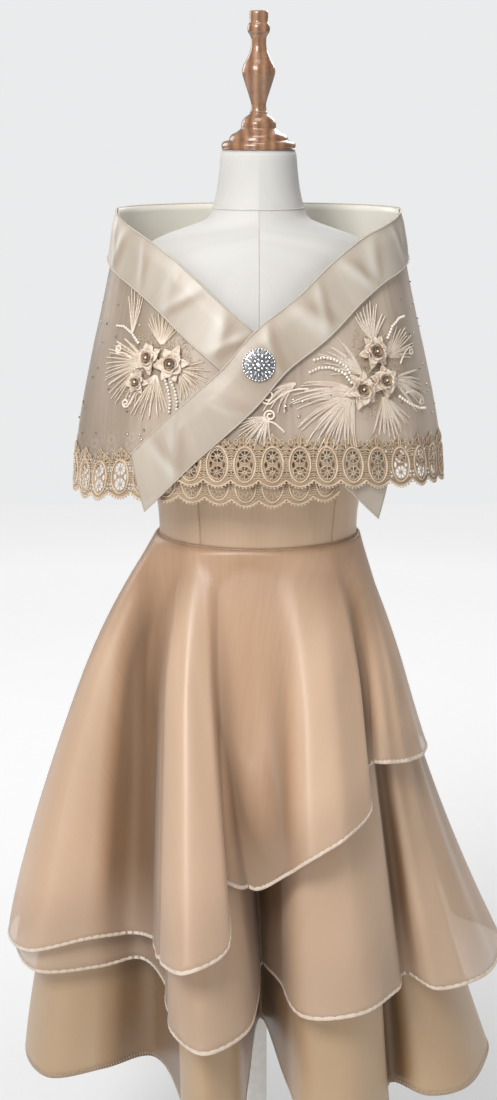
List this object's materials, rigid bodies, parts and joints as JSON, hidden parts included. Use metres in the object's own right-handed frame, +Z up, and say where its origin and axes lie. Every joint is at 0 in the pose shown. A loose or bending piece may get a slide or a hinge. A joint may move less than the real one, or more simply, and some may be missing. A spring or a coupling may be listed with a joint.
{
  "type": "tiered dress with capelet on a dress form",
  "caption": "Strapless dress with an asymmetric tiered skirt of organza over satin and a wrapped, lace-edged capelet, on a limbless dress form.",
  "frame": {"origin": "centre of the stand base's underside, on the floor under the pole", "axes": "+Z up along the pole, -Y the dress's front, +X the viewer's right"},
  "size_m": [0.6244, 0.6197, 1.621],
  "materials": {
    "enamel": "white enamel",
    "linen": "fine off-white linen",
    "wood": "turned and varnished",
    "bodice_satin": "taupe satin",
    "zip_tape": "closed hidden zip, matt tape",
    "skirt_satin": "champagne satin",
    "organza": "crisp sheer organza with a sheen",
    "capelet_organza": "sheer embroidered organza",
    "band_organza": "folded organza, two layers",
    "lace": "corded guipure lace",
    "flowers": "ribbon roses and satin stitch",
    "crystal": "polished setting with clear stones"
  },
  "bodies": {
    "root": {"stand_base": "enamel", "stand_pole": "enamel", "dress_form": "linen", "neck_cap": "wood", "finial": "wood", "bodice_side_front_left": "bodice_satin", "bodice_centre_front": "bodice_satin", "bodice_side_front_right": "bodice_satin", "bodice_back_right": "bodice_satin", "back_zip": "zip_tape", "bodice_back_left": "bodice_satin", "waist_seam": "bodice_satin", "underskirt_front": "skirt_satin", "underskirt_back": "skirt_satin", "middle_tier_front": "organza", "middle_tier_back": "organza", "top_tier_front": "organza", "top_tier_back": "organza", "capelet_left": "capelet_organza", "capelet_right": "capelet_organza", "capelet_back": "capelet_organza", "band_left": "band_organza", "band_right": "band_organza", "band_back": "band_organza", "lace_left": "lace", "lace_right": "lace", "flowers_right": "flowers", "flowers_left": "flowers", "brooch": "crystal"}
  },
  "joints": []
}
